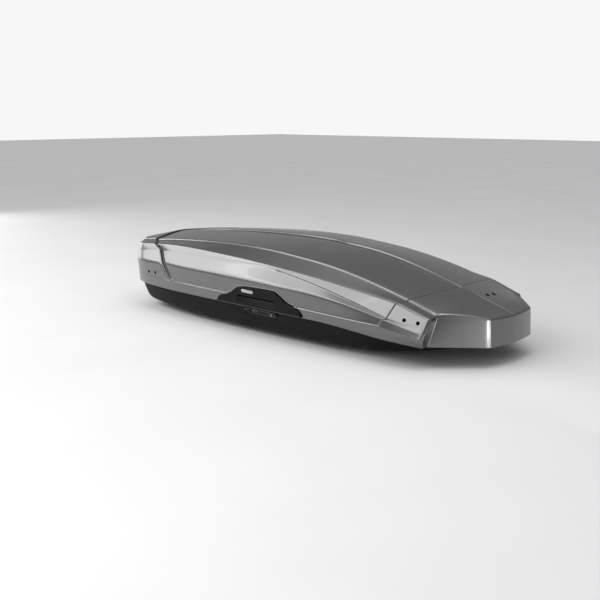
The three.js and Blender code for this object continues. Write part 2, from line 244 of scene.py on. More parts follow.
def webbing_cloth():
    """Black luggage webbing: a tight twill of two crossing wave patterns."""
    shade = Shade("webbing", Sheen_Weight=0.10, Sheen_Roughness=0.5)
    across = shade.wave(210, "X", 0.6)
    along = shade.wave(260, "Y", 0.6)
    shade.colour(across, grey(0.012), grey(0.035), (0.2, 0.8))
    shade.roughness(along, 0.75, 0.92)
    shade.bump(across, 0.7, 0.0008)
    shade.bump(along, 0.6, 0.0008)
    return shade.material


def floor_paper():
    """Pale matt paper under the box."""
    shade = Shade("floor_paper")
    shade.colour(shade.noise(1.2), grey(0.80), grey(0.84))
    shade.roughness(shade.noise(4), 0.75, 0.9)
    return shade.material


def knob_plastic():
    """Dark red moulded plastic with a fine grain."""
    shade = Shade("knob_plastic", Specular_IOR_Level=0.45)
    shade.colour(shade.noise(25, detail=5), (0.14, 0.010, 0.012), (0.20, 0.016, 0.018))
    shade.roughness(shade.noise(60), 0.38, 0.52)
    shade.bump(shade.cells(900), 0.25, 0.0005)
    return shade.material


MATERIALS = {
    "lid_paint": lid_paint(),
    "lid_inside": grained_plastic("lid_inside", 0.045, rough=(0.45, 0.6), grain=260, depth=0.25),
    "tub_plastic": grained_plastic("tub_plastic", 0.005, gloss=0.15),
    "trim_plastic": grained_plastic(
        "trim_plastic", 0.003, rough=(0.36, 0.48), grain=1500, depth=0.22, gloss=0.16
    ),
    "slider_plastic": grained_plastic(
        "slider_plastic", 0.055, rough=(0.3, 0.4), grain=2000, depth=0.15
    ),
    "screw_black": grained_plastic(
        "screw_black", 0.002, rough=(0.6, 0.75), grain=2400, depth=0.1, gloss=0.05
    ),
    "badge": plated_steel("badge", 0.55, (0.25, 0.4)),
    "knob_plastic": knob_plastic(),
    "webbing": webbing_cloth(),
    "rail_aluminium": plated_steel("rail_aluminium", 0.62, (0.3, 0.5)),
    "lifter_black": grained_plastic("lifter_black", 0.012, rough=(0.22, 0.34), grain=2400, depth=0.12),
    "key_metal": plated_steel("key_metal", 0.68, (0.12, 0.25)),
    "steel": plated_steel("steel"),
}


# ---------------------------------------------------------------- mesh helpers
def make_object(name, vertices, faces, materials, smooth=True):
    mesh = bpy.data.meshes.new(name)
    mesh.from_pydata([tuple(v) for v in vertices], [], faces)
    mesh.update()
    for material in materials:
        mesh.materials.append(MATERIALS[material])
    for polygon in mesh.polygons:
        polygon.use_smooth = smooth
    piece = bpy.data.objects.new(name, mesh)
    bpy.context.scene.collection.objects.link(piece)
    return piece


def recalculate_normals(piece):
    bm = bmesh.new()
    bm.from_mesh(piece.data)
    bmesh.ops.recalc_face_normals(bm, faces=bm.faces)
    bm.to_mesh(piece.data)
    bm.free()


def weld(piece):
    """Joins vertices that lie on one place and turns all faces outwards."""
    bm = bmesh.new()
    bm.from_mesh(piece.data)
    bmesh.ops.remove_doubles(bm, verts=bm.verts, dist=WELD_REACH)
    bmesh.ops.recalc_face_normals(bm, faces=bm.faces)
    bm.to_mesh(piece.data)
    bm.free()


def turned_faces(rings, turns):
    """The quads between rings of vertices that close round an axis."""
    faces = []
    for i in range(rings - 1):
        for k in range(turns):
            m = (k + 1) % turns
            faces.append((i * turns + k, i * turns + m, (i + 1) * turns + m, (i + 1) * turns + k))
    return faces


def apply_modifiers(piece):
    bpy.context.view_layer.update()
    graph = bpy.context.evaluated_depsgraph_get()
    done = bpy.data.meshes.new_from_object(piece.evaluated_get(graph))
    piece.modifiers.clear()
    piece.data = done


def subdivide(piece, levels):
    modifier = piece.modifiers.new("subdivision", "SUBSURF")
    modifier.levels = levels
    modifier.render_levels = levels


def thicken(piece, wall, inside_slot=0, rim_slot=0):
    modifier = piece.modifiers.new("wall", "SOLIDIFY")
    modifier.thickness = wall
    modifier.offset = -1
    modifier.material_offset = inside_slot
    modifier.material_offset_rim = rim_slot


def bevel(piece, width, segments=3, angle=30):
    modifier = piece.modifiers.new("bevel", "BEVEL")
    modifier.width = width
    modifier.segments = segments
    modifier.limit_method = "ANGLE"
    modifier.angle_limit = math.radians(angle)
    modifier.harden_normals = True


class Cage:
    """A quad cage that keeps one vertex per place and remembers its creases."""

    def __init__(self):
        self.vertices = []
        self.index = {}
        self.faces = []
        self.creases = {}

    def vertex(self, point):
        key = tuple(round(c, 5) for c in point)
        if key not in self.index:
            self.index[key] = len(self.vertices)
            self.vertices.append(key)
        return self.index[key]

    def face(self, *points):
        corners = []
        for point in points:
            v = self.vertex(point)
            if v not in corners:
                corners.append(v)
        if len(corners) > 2:
            self.faces.append(corners)

    def crease(self, points, weight):
        for a, b in zip(points, points[1:]):
            pair = tuple(sorted((self.vertex(a), self.vertex(b))))
            self.creases[pair] = max(weight, self.creases.get(pair, 0))

    def mirrored(self):
        """Adds the other half, across the XZ plane."""

        def flip(v):
            x, y, z = self.vertices[v]
            return (x, -y, z)

        for corners in list(self.faces):
            self.face(*[flip(v) for v in reversed(corners)])
        for (a, b), weight in list(self.creases.items()):
            self.crease([flip(a), flip(b)], weight)

    def object(self, name, materials):
        piece = make_object(name, self.vertices, self.faces, materials)
        recalculate_normals(piece)
        weights = piece.data.attributes.new("crease_edge", "FLOAT", "EDGE")
        for edge in piece.data.edges:
            weights.data[edge.index].value = self.creases.get(tuple(sorted(edge.vertices)), 0)
        return piece


def between(rows, x):
    """The row of a table at x, worked out from the rows on each side of it."""
    if x <= rows[0][0]:
        return rows[0][1:]
    for low, high in zip(rows, rows[1:]):
        if x <= high[0]:
            t = (x - low[0]) / (high[0] - low[0])
            return [a + (b - a) * t for a, b in zip(low[1:], high[1:])]
    return rows[-1][1:]


# ---------------------------------------------------------------- lid
# x, ridge z, shoulder y, z, upper side y, z, lower side y, z, rim y
LID_SECTIONS = [
    (-1.130, 0.342, 0.262, 0.320, 0.318, 0.298, 0.330, 0.215, 0.320),
    (-1.098, 0.347, 0.300, 0.325, 0.354, 0.304, 0.382, 0.222, 0.374),
    (-0.980, 0.360, 0.306, 0.339, 0.380, 0.317, 0.418, 0.230, 0.421),
    (-0.700, 0.382, 0.312, 0.359, 0.397, 0.342, 0.444, 0.240, 0.449),
    (-0.350, 0.397, 0.316, 0.376, 0.405, 0.334, 0.4525, 0.240, 0.4575),
    (-0.100, 0.399, 0.318, 0.374, 0.406, 0.320, 0.4525, 0.237, 0.4575),
    (0.300, 0.376, 0.318, 0.340, 0.400, 0.290, 0.4525, 0.226, 0.4575),
    (0.500, 0.336, 0.318, 0.304, 0.390, 0.268, 0.441, 0.203, 0.448),
    (0.700, 0.281, 0.318, 0.255, 0.378, 0.242, 0.425, 0.162, 0.434),
    (0.880, 0.232, 0.304, 0.196, 0.361, 0.183, 0.396, 0.122, 0.405),
]
# x, height of the skirt's edge and how far it lies inside the rim
SKIRT = [
    (-1.20, 0.1050, 0.010),
    (-0.95, 0.1060, 0.006),
    (-0.80, 0.1080, 0.0005),
    (0.38, 0.1080, 0.0005),
    (0.50, 0.0985, 0.001),
    (0.70, 0.0765, 0.008),
    (0.86, 0.0620, 0.028),
]
# x and height of the crease between the side and the stepped rim
LOWER_CREASE = [(-1.2, 0.160), (0.1, 0.156), (0.70, 0.138), (0.88, 0.105)]
# where the thin step crosses the light facet, as a share of its height, and how deep it is
FOLD = [
    (-0.30, 0.30, 0.0),
    (-0.04, 0.08, 0.0),
    (0.05, 0.13, 0.003),
    (0.30, 0.38, 0.004),
    (0.64, 0.86, 0.004),
    (0.70, 0.88, 0),
]
LIP_OUT = 0.0060  # the small steep lip along the shoulder
LIP_DOWN = 0.0085
LEDGE = 0.0022  # how far the framed panel lies inside the band below it
LEVELS = 10
SHOULDER, LIP, UPPER, FOLD_TOP, FOLD_FOOT, LOWER, LEDGE_TOP, LEDGE_FOOT, RIM, EDGE = range(LEVELS)
LEVEL_CREASES = {
    SHOULDER: 0.93,
    LIP: 0.93,
    UPPER: 0.95,
    LOWER: 0.95,
    LEDGE_TOP: 0.8,
    LEDGE_FOOT: 0.8,
    RIM: 0.75,
    EDGE: 1.0,
}

GROOVE_WALL = 0.0018
# half width, depth, and how far the framed panel lies below the cap at the groove
CROSS_GROOVE = {"rear": (0.0095, 0.0150, 0.0070), "front": (0.0034, 0.0050, 0.0015)}
# x, half width and depth of the shallow channel along the middle of the roof
CHANNEL = [
    (-1.30, 0.034, 0.0090),
    (-1.05, 0.034, 0.0090),
    (-0.70, 0.045, 0.0100),
    (0.052, 0.050, 0.0100),
    (0.066, 0.028, 0.0095),
    (0.600, 0.026, 0.0090),
    (0.780, 0.014, 0.0065),
    (1.200, 0.012, 0.0020),
]
CHANNEL_WALL = 0.006
NOSE_BEAD = 0.003


def side_point(level, x, push=0.0, panel=False):
    """A point of the lid's left side at one level, pushed inwards for a groove."""
    sy, sz, by, bz, cy, cz, ry = between(LID_SECTIONS, x)[1:]
    crease_z = between(LOWER_CREASE, x)[0]
    skirt_z, skirt_in = between(SKIRT, x)
    fold, step = between(FOLD, x)
    ledge = LEDGE if panel else 0.0
    lower_y = cy - ledge * 0.5
    rim_z = min(RIM_Z, crease_z - 0.016)
    points = {
        SHOULDER: (sy, sz, 0.35, 0.94),
        LIP: (sy + LIP_OUT, sz - LIP_DOWN, 0.45, 0.89),
        UPPER: (by, bz, 0.70, 0.71),
        FOLD_TOP: (by + (lower_y - by) * fold + step * 0.3, bz + (cz - bz) * fold, 0.85, 0.52),
        FOLD_FOOT: (by + (lower_y - by) * fold - step * 0.4, bz + (cz - bz) * fold - 0.004, 0.85, 0.52),
        LOWER: (lower_y, cz, 0.95, 0.31),
        LEDGE_TOP: (ry - 0.001 - ledge, crease_z, 1, 0),
        LEDGE_FOOT: (ry, crease_z - 0.004, 1, 0),
        RIM: (ry, rim_z, 1, 0),
        EDGE: (ry - skirt_in, skirt_z, 1, 0),
    }
    y, z, inward_y, inward_z = points[level]
    return (x, y - push * inward_y, z - push * inward_z)


def roof_height(x, y):
    ridge, sy, sz = between(LID_SECTIONS, x)[:3]
    return ridge + (sz - ridge) * (abs(y) / sy) ** 1.7


def roof_points(xs, push, panel):
    """The roof from the middle outwards: channel floor, floor's edge, channel's edge, half way."""
    half, depth = between(CHANNEL, xs[0])
    if not panel:
        depth = 0.0
    down = max(depth, push)
    bead = NOSE_BEAD if xs[0] > 0.79 else 0.0
    sy = between(LID_SECTIONS, xs[1])[1]
    inner = max(half - CHANNEL_WALL, half * 0.3)
    return [
        (xs[0], 0.0, roof_height(xs[0], 0.0) - down + bead),
        (xs[0], inner, roof_height(xs[0], inner) - down),
        (xs[0], half, roof_height(xs[0], half) - push),
        (xs[1], sy * 0.5, roof_height(xs[1], sy * 0.5) - push),
    ]


# Where each station of the lid crosses the middle, the halfway line and the side levels.
LID_STATIONS = [
    ("plain", [-1.119, -1.095, -1.04, -1.038, -1.01, -0.998, -0.998, -0.985, -0.96, -0.958, -0.95, -0.95]),
    ("rear", [-1.104, -1.044, -0.965, -0.96, -0.875, -0.815, -0.815, -0.755, -0.676, -0.672, -0.65, -0.65]),
    ("plain", [-1.00, -0.93, -0.86, -0.858, -0.78, -0.72, -0.72, -0.66, -0.58, -0.578, -0.56, -0.56]),
    ("plain", [-0.76, -0.72, -0.67, -0.668, -0.61, -0.57, -0.57, -0.53, -0.47, -0.47, -0.46, -0.46]),
    ("plain", [-0.50, -0.47, -0.43, -0.43, -0.40, -0.38, -0.38, -0.36, -0.33, -0.33, -0.32, -0.32]),
    ("plain", [-0.26, -0.245, -0.23, -0.23, -0.215, -0.205, -0.205, -0.195, -0.18, -0.18, -0.18, -0.18]),
    ("plain", [-0.05, -0.045, -0.04, -0.04, -0.04, -0.04, -0.04, -0.04, -0.04, -0.04, -0.04, -0.04]),
    ("plain", [0.052, 0.051, 0.05, 0.05, 0.05, 0.05, 0.05, 0.05, 0.05, 0.05, 0.05, 0.05]),
    ("plain", [0.066, 0.08, 0.11, 0.11, 0.11, 0.11, 0.11, 0.11, 0.11, 0.11, 0.11, 0.11]),
    ("plain", [0.26, 0.26, 0.25, 0.25, 0.25, 0.245, 0.245, 0.24, 0.24, 0.24, 0.24, 0.24]),
    ("plain", [0.44, 0.43, 0.42, 0.42, 0.41, 0.40, 0.40, 0.39, 0.38, 0.38, 0.38, 0.38]),
    ("plain", [0.62, 0.605, 0.59, 0.589, 0.57, 0.555, 0.555, 0.54, 0.53, 0.53, 0.53, 0.53]),
    ("front", [0.785, 0.765, 0.737, 0.736, 0.72, 0.70, 0.70, 0.68, 0.667, 0.665, 0.66, 0.66]),
    ("plain", [0.88, 0.86, 0.83, 0.829, 0.80, 0.785, 0.785, 0.77, 0.76, 0.757, 0.755, 0.755]),
]


def lid_stations():
    """Each line across the lid: its roof and side points, and whether it is in a groove or the panel."""
    rows = []
    panel = False
    for kind, xs in LID_STATIONS:
        if kind == "plain":
            lines = [(0.0, 0.0, panel)]
        else:
            half, depth, step = CROSS_GROOVE[kind]
            inner = half - GROOVE_WALL
            before, after = (step, 0.0) if panel else (0.0, step)
            lines = [
                (-half, before, panel),
                (-inner, depth, True),
                (inner, depth, True),
                (half, after, not panel),
            ]
            panel = not panel
        for shift, push, inside in lines:
            roof = roof_points([xs[0] + shift, xs[1] + shift], push, inside)
            side = []
            for level in range(LEVELS):
                deep = push if level <= LOWER else push * 0.4 * (level == LEDGE_TOP)
                side.append(side_point(level, xs[2 + level] + shift, deep, inside))
            rows.append({"roof": roof, "side": side, "groove": kind != "plain", "panel": inside})
    return rows


def upright(top, foot):
    """One line down the nose, from its top edge to its lower edge."""
    shares = (0, 0.055, 0.2, 0.3, 0.34, 0.45, 0.6, 0.7, 0.85, 1)
    return [tuple(a + (b - a) * t for a, b in zip(top, foot)) for t in shares]


def lid_ends():
    """The rear wall's and the nose's upright lines, each with one point per level."""
    rear_z = [0.340, 0.334, 0.300, 0.266, 0.262, 0.222, 0.162, 0.158, 0.110, 0.105]
    rear_x = [-1.118, -1.124, -1.130, -1.130, -1.130, -1.128, -1.124, -1.124, -1.120, -1.110]

    def across(y, drop, ahead):
        return [(x + ahead, y, z - drop * (i < UPPER)) for i, (x, z) in enumerate(zip(rear_x, rear_z))]

    corner_x = [-1.096, -1.094, -1.088, -1.083, -1.082, -1.078, -1.073, -1.072, -1.070, -1.066]
    corner_y = [0.296, 0.303, 0.346, 0.361, 0.362, 0.371, 0.374, 0.374, 0.372, 0.362]
    corner_z = [0.326, 0.319, 0.304, 0.268, 0.264, 0.222, 0.162, 0.158, 0.110, 0.105]
    half = CHANNEL[0][1]
    rear = {
        "middle": across(0.0, 0.0, 0.0),
        "inner": across(half - CHANNEL_WALL, 0.0, 0.0),
        "beside": across(half, 0.0, 0.0),
        "half": across(0.155, 0.004, 0.001),
        "outer": across(0.262, 0.011, 0.006),
        "corner": list(zip(corner_x, corner_y, corner_z)),
    }
    last_side = [
        (0.864, 0.304, 0.1985),
        (0.866, 0.310, 0.1905),
        (0.880, 0.361, 0.183),
        (0.879, 0.378, 0.155),
        (0.879, 0.380, 0.151),
        (0.876, 0.397, 0.122),
        (0.872, 0.402, 0.108),
        (0.872, 0.404, 0.104),
        (0.868, 0.404, 0.090),
        (0.856, 0.380, 0.062),
    ]
    half = CHANNEL[-1][1]
    inner = max(half - CHANNEL_WALL, half * 0.3)
    nose = {
        "last_side": last_side,
        "bevel": upright((0.8775, 0.302, 0.191), (0.858, 0.345, 0.062)),
        "bevel_front": upright((0.892, 0.291, 0.1960), (0.866, 0.337, 0.061)),
        "fascia": upright((0.963, 0.234, 0.1915), (0.955, 0.250, 0.059)),
        "corner": upright((1.034, 0.174, 0.1750), (1.039, 0.175, 0.057)),
        "corner_front": upright((1.042, 0.161, 0.1735), (1.048, 0.161, 0.057)),
        "bow": upright((1.055, 0.085, 0.1705), (1.061, 0.085, 0.057)),
        "beside": upright((1.059, half, 0.1690), (1.065, half, 0.057)),
        "inner": upright((1.059, inner, 0.1690), (1.065, inner, 0.057)),
        "middle": upright((1.0595, 0.0, 0.1690), (1.0655, 0.0, 0.057)),
    }
    return rear, nose


def chamfered(point, toward, reach=0.0065, lift=0.0060):
    """A roof point beside the nose's edge, set back so that the edge reads as a small slope."""
    away = Vector((toward[0] - point[0], toward[1] - point[1], 0)).normalized()
    return (point[0] + away.x * reach, point[1] + away.y * reach, point[2] + lift)


def build_lid():
    cage = Cage()
    stations = lid_stations()
    rear, nose = lid_ends()

    walls = [rear[k] for k in ("middle", "inner", "beside", "half", "outer", "corner")]
    walls += [row["side"] for row in stations]
    nose_order = tuple(nose)
    walls += [nose[k] for k in nose_order]
    for a, b in zip(walls, walls[1:]):
        for level in range(LEVELS - 1):
            cage.face(a[level], b[level], b[level + 1], a[level + 1])

    # the nose's sloped edge, then the last roof line behind it
    tip = (0.90, 0.0, 0.2)
    slope = {k: chamfered(nose[k][0], tip) for k in nose_order[1:]}
    slope["middle"] = (slope["middle"][0], 0.0, slope["middle"][2] + NOSE_BEAD * 0.6)
    half = CHANNEL[-1][1]
    inner = max(half - CHANNEL_WALL, half * 0.3)
    slope["inner"] = (slope["inner"][0], inner, slope["inner"][2])
    slope["beside"] = (slope["beside"][0], half, slope["beside"][2])
    for a, b in zip(nose_order[1:], nose_order[2:]):
        cage.face(nose[a][0], nose[b][0], slope[b], slope[a])
    cage.face(nose["last_side"][0], nose["bevel"][0], slope["bevel"])
    last_roof = [
        (0.962, 0.0, 0.2045 + NOSE_BEAD),
        (0.962, inner, 0.2044),
        (0.962, half, 0.2042),
        (0.940, 0.140, 0.2065),
    ]

    roof = []
    for row in stations:
        roof.append(row["roof"] + [row["side"][0]])
    roof.append(last_roof + [nose["last_side"][0]])
    first = roof[0]
    cage.face(rear["middle"][0], rear["inner"][0], first[1], first[0])
    cage.face(rear["inner"][0], rear["beside"][0], first[2], first[1])
    cage.face(rear["beside"][0], rear["half"][0], first[3], first[2])
    cage.face(rear["half"][0], rear["outer"][0], first[4], first[3])
    cage.face(rear["outer"][0], rear["corner"][0], first[4])
    for a, b in zip(roof, roof[1:]):
        for column in range(4):
            cage.face(a[column], b[column], b[column + 1], a[column + 1])
    last = roof[-1]
    cage.face(last[0], last[1], slope["inner"], slope["middle"])
    cage.face(last[1], last[2], slope["beside"], slope["inner"])
    cage.face(last[2], last[3], slope["bow"], slope["beside"])
    cage.face(last[3], slope["corner"], slope["corner_front"], slope["bow"])
    cage.face(last[3], last[4], slope["fascia"], slope["corner"])
    cage.face(last[4], slope["bevel"], slope["bevel_front"], slope["fascia"])

    # creases along the sides, at the grooves and around the nose
    for level, weight in LEVEL_CREASES.items():
        cage.crease([wall[level] for wall in walls[5:-9]], weight)
        rear_weight = weight if level in (SHOULDER, LIP, EDGE) else weight * 0.5
        cage.crease([wall[level] for wall in walls[:6]], rear_weight)
    cage.crease([wall[EDGE] for wall in walls[-10:]], 1.0)
    for level in (FOLD_TOP, FOLD_FOOT):
        folded = [row["side"][level] for row in stations if 0.0 < row["side"][level][0] < 0.72]
        cage.crease(folded, 0.95)
    cage.crease([nose[k][0] for k in nose_order], 0.95)
    cage.crease([nose["last_side"][0]] + [slope[k] for k in nose_order[1:]], 0.95)
    cage.crease(nose["bevel"], 0.95)
    cage.crease(nose["bevel_front"], 0.95)
    cage.crease(nose["last_side"][1 : LOWER + 1], 0.92)
    cage.crease(nose["last_side"][LOWER:], 0.6)
    cage.crease(nose["corner"], 0.95)
    cage.crease(nose["corner_front"], 0.95)
    for row in stations:
        if row["groove"]:
            cage.crease([*row["roof"], *row["side"][: LEDGE_TOP + 1]], 0.9)
    inside = [row for row in stations if row["panel"]]
    for column in (1, 2):
        cage.crease([row["roof"][column] for row in inside], 0.8)
    ahead = [row["roof"][0] for row in stations[-2:]] + [last_roof[0], slope["middle"]]
    cage.crease(ahead, 0.9)
    for column in (1, 2):
        cage.crease([row["roof"][column] for row in stations[-2:]] + [last_roof[column]], 0.8)

    cage.mirrored()
    lid = cage.object("lid", ["lid_paint", "lid_inside"])
    subdivide(lid, 3)
    thicken(lid, LID_WALL, inside_slot=1)
    apply_modifiers(lid)
    return lid


# ---------------------------------------------------------------- tub
# x, rim y, floor y, floor z
TUB_SECTIONS = [
    (-1.048, 0.356, 0.300, 0.0),
    (-0.955, 0.402, 0.330, 0.0),
    (-0.700, 0.433, 0.384, 0.0),
    (-0.300, 0.4445, 0.400, 0.0),
    (0.300, 0.4445, 0.394, 0.0),
    (0.540, 0.4315, 0.350, 0.0),
    (0.640, 0.398, 0.330, 0.006),
    (0.800, 0.343, 0.285, 0.022),
    (0.940, 0.248, 0.190, 0.046),
]
TUB_TOP = 0.1045
# share of the way out to the rim and share of the depth, from the rim down
TUB_WALL_LINE = [(1.0, 0.0), (0.93, 0.16), (0.62, 0.62), (0.34, 0.90), (0.0, 1.0)]
TUB_LEVELS = len(TUB_WALL_LINE)
# the rear and nose walls: their x at each level, and how far the level draws in sideways
TUB_REAR_X = [-1.086, -1.083, -1.050, -1.022, -0.985]
TUB_NOSE_X = [1.006, 1.002, 0.990, 0.975, 0.950]
TUB_END_SHARES = (1.0, 0.99, 0.96, 0.92, 0.88)
TUB_NOSE_FLOOR = 0.060
CLAMP_SLOT = (0.150, 0.019)  # half length and half width
BAY_GAP = 0.0006


def tub_line(x, rim_y, floor_y, floor_z):
    """One upright line of the tub's wall, from its rim down to the floor's edge."""
    depth = TUB_TOP - floor_z
    return [(x, floor_y + (rim_y - floor_y) * share, TUB_TOP - depth * drop) for share, drop in TUB_WALL_LINE]


def build_tub():
    cage = Cage()
    sides = [tub_line(*row) for row in TUB_SECTIONS]

    def end_line(xs, y, floor_z):
        depth = TUB_TOP - floor_z
        line = []
        for x, share, (_, drop) in zip(xs, TUB_END_SHARES, TUB_WALL_LINE):
            line.append((x, y * share, TUB_TOP - depth * drop))
        return line

    rear = [end_line(TUB_REAR_X, y, 0.0) for y in (0.0, 0.150, 0.285)]
    nose = [end_line(TUB_NOSE_X, y, TUB_NOSE_FLOOR) for y in (0.100, 0.0)]
    walls = rear + sides + nose
    for a, b in zip(walls, walls[1:]):
        for level in range(TUB_LEVELS - 1):
            cage.face(a[level], b[level], b[level + 1], a[level + 1])
    # the floor, in strips from each wall line's foot to the middle
    feet = [wall[-1] for wall in sides]
    rows = []
    for foot in feet:
        rows.append([(foot[0], 0.0, foot[2]), (foot[0], foot[1] * 0.5, foot[2]), foot])
    cage.face(rear[0][-1], rear[1][-1], rows[0][1], rows[0][0])
    cage.face(rear[1][-1], rear[2][-1], rows[0][2], rows[0][1])
    for a, b in zip(rows, rows[1:]):
        for column in range(2):
            cage.face(a[column], b[column], b[column + 1], a[column + 1])
    last = rows[-1]
    cage.face(last[0], last[1], nose[0][-1], nose[1][-1])
    cage.face(last[1], last[2], nose[0][-1])
    for level, weight in ((0, 1.0), (1, 0.5), (4, 0.6)):
        cage.crease([wall[level] for wall in walls], weight)
    cage.mirrored()
    tub = cage.object("tub", ["tub_plastic"])
    subdivide(tub, 3)
    thicken(tub, TUB_WALL)
    apply_modifiers(tub)
    cut_boxes(tub, tub_openings())
    return tub


def tub_openings():
    """The clamps' slots in the floor and the lock bays in the sides."""
    boxes = []
    for place in ("rear", "front"):
        for side in ("right", "left"):
            low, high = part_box(f"clamp_housing_{place}_{side}")
            x, y = (low.x + high.x) / 2, (low.y + high.y) / 2
            length, width = CLAMP_SLOT
            boxes.append(((x - length, y - width, -0.02), (x + length, y + width, 0.006)))
    for side in ("right", "left"):
        low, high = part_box(f"lock_housing_{side}")
        grow = Vector((BAY_GAP, 0.02, BAY_GAP))
        boxes.append((tuple(low - grow), tuple(high + grow)))
    return boxes


def box_mesh(name, low, high, material="tub_plastic"):
    (x0, y0, z0), (x1, y1, z1) = low, high
    corners = [(x, y, z) for x in (x0, x1) for y in (y0, y1) for z in (z0, z1)]
    faces = [(0, 1, 3, 2), (4, 6, 7, 5), (0, 4, 5, 1), (2, 3, 7, 6), (0, 2, 6, 4), (1, 5, 7, 3)]
    piece = make_object(name, corners, faces, [material], smooth=False)
    recalculate_normals(piece)
    return piece


def combine(piece, others, operation="DIFFERENCE"):
    """Cuts the other solids out of the piece, or joins them to it, and uses them up."""
    for other in others:
        modifier = piece.modifiers.new("combine", "BOOLEAN")
        modifier.operation = operation
        modifier.object = other
        modifier.solver = "EXACT"
    apply_modifiers(piece)
    for other in others:
        bpy.data.objects.remove(other)


def cut_boxes(piece, boxes):
    combine(piece, [box_mesh("cutter", low, high) for low, high in boxes])


# ---------------------------------------------------------------- small details
TRIM_OUTLINE = [
    (-0.306, 0.112), (-0.284, 0.146), (-0.223, 0.153), (-0.173, 0.188), (-0.150, 0.200), (0.066, 0.205),
    (0.098, 0.198), (0.165, 0.158), (0.212, 0.154), (0.246, 0.132), (0.258, 0.112),
]
TRIM_BACK_Y = 0.4582
TRIM_FACE_Y = 0.4645
# the handle's boxes: x range, y range, z range
LID_OPENING = ((-0.166, 0.089), (0.425, 0.470), (0.149, 0.185))
POCKET_OUTSIDE = ((-0.165, 0.088), (0.428, TRIM_BACK_Y + 0.001), (0.150, 0.184))
SCOOP = ((-0.161, 0.084), (0.4608, 0.4700), (0.124, 0.160))
FINGER_SLOT = ((-0.158, 0.081), (0.431, 0.4620), (0.153, 0.160))
FINGER_CAVITY = ((-0.158, 0.081), (0.431, 0.4520), (0.153, 0.181))
BADGE = ((-0.128, -0.052), (TRIM_FACE_Y - 0.0008, TRIM_FACE_Y + 0.0010), (0.1755, 0.1900))
# z and y of the lock housing's outer face, from its foot to its top
LOCK_FACE = [
    (0.056, 0.434),
    (0.070, 0.432),
    (0.0765, 0.4345),
    (0.0825, 0.441),
    (0.0905, 0.446),
    (0.101, 0.449),
]
BEZEL_OUTLINE = [(-0.126, 0.0775), (0.070, 0.0775), (0.078, 0.0840), (0.078, 0.0985), (-0.126, 0.0985)]
KEY_AT = (0.043, 0.088)
BORDER_INSET = 0.0045
RING_ANGLES = [math.pi * k / 12 for k in range(24)]
COLLAR_R = 0.0098
SIDES = (("right", -1), ("left", 1))
SCREW_R = 0.0085
TOP_SCREW_R = 0.0110
# share of the radius and height of a screw head, from the middle of its socket to its foot
SCREW_PROFILE = [
    (0.0, 0.0006),
    (0.42, 0.0006),
    (0.46, 0.0016),
    (0.80, 0.0015),
    (1.0, 0.0004),
    (1.0, -0.0015),
    (0.0, -0.0015),
]
SIDE_SCREWS = ((0.776, 0.172), (0.835, 0.166), (-0.893, 0.177), (-0.827, 0.180))  # x, z
TOP_SCREWS = ((0.886, 0.059), (0.886, 0.112))  # x, y


def rounded(points, rounds=3, closed=False):
    """The path with its corners cut back, a little more in each round."""
    for _ in range(rounds):
        path = [] if closed else [points[0]]
        pairs = zip(points, points[1:] + points[:1] if closed else points[1:])
        for a, b in pairs:
            path.append(tuple(p + (q - p) * 0.25 for p, q in zip(a, b)))
            path.append(tuple(p + (q - p) * 0.75 for p, q in zip(a, b)))
        if not closed:
            path.append(points[-1])
        points = path
    return points


def offset_path(points, distance, closed=False):
    """The path moved sideways in its own plane, to the left of its direction."""
    moved = []
    count = len(points)
    for i, point in enumerate(points):
        before = points[(i - 1) % count] if closed or i else point
        after = points[(i + 1) % count] if closed or i < count - 1 else point
        along = (Vector(after) - Vector(before)).normalized()
        moved.append((point[0] - along.y * distance, point[1] + along.x * distance))
    return moved


BEAD_FOOT = 0.001  # how far a bead reaches into what it stands on


def bead(name, path, y_at, width, height, material, side, closed=False):
    """A rounded bead along a path of (x, z), standing out from the side of the box."""
    arc = [math.pi * i / 6 for i in range(7)]
    section = [(math.cos(a) * width / 2, math.sin(a) * height) for a in arc]
    section += [(-width / 2, -BEAD_FOOT), (width / 2, -BEAD_FOOT)]
    vertices, faces = [], []
    count = len(path)
    for i, (x, z) in enumerate(path):
        before = path[(i - 1) % count] if closed or i else path[i]
        after = path[(i + 1) % count] if closed or i < count - 1 else path[i]
        along = (Vector(after) - Vector(before)).normalized()
        for across, out in section:
            px, pz = x - along.y * across, z + along.x * across
            vertices.append((px, side * (y_at(px, pz) + out), pz))
    ring = len(section)
    for i in range(count if closed else count - 1):
        j = (i + 1) % count
        for k in range(ring):
            m = (k + 1) % ring
            faces.append((i * ring + k, i * ring + m, j * ring + m, j * ring + k))
    if not closed:
        faces.append(tuple(range(ring)))
        faces.append(tuple(range((count - 1) * ring, count * ring)))
    piece = make_object(name, vertices, faces, [material])
    recalculate_normals(piece)
    return piece


def rounded_box(name, low, high, radius, material, segments=3):
    piece = box_mesh(name, low, high, material)
    bevel(piece, radius, segments)
    apply_modifiers(piece)
    for polygon in piece.data.polygons:
        polygon.use_smooth = True
    return piece


def add_piece(piece, body):
    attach(piece, body)


def side_surface(x, z):
    """How far out the lid's side is at a height between its lower side crease and its rim."""
    row = between(LID_SECTIONS, x)
    lower_y, lower_z, rim_y = row[5], row[6], row[7]
    share = min(1, max(0, (lower_z - z) / (lower_z - 0.158)))
    return lower_y - LEDGE * 0.5 + (rim_y - 0.001 - LEDGE - lower_y + LEDGE * 0.5) * share


def trim_face(x, z):
    """How far out the trim's face is, which is flat."""
    return TRIM_FACE_Y


def lock_face(x, z):
    """How far out the lock housing's face is at a height."""
    return between(LOCK_FACE, z)[0]


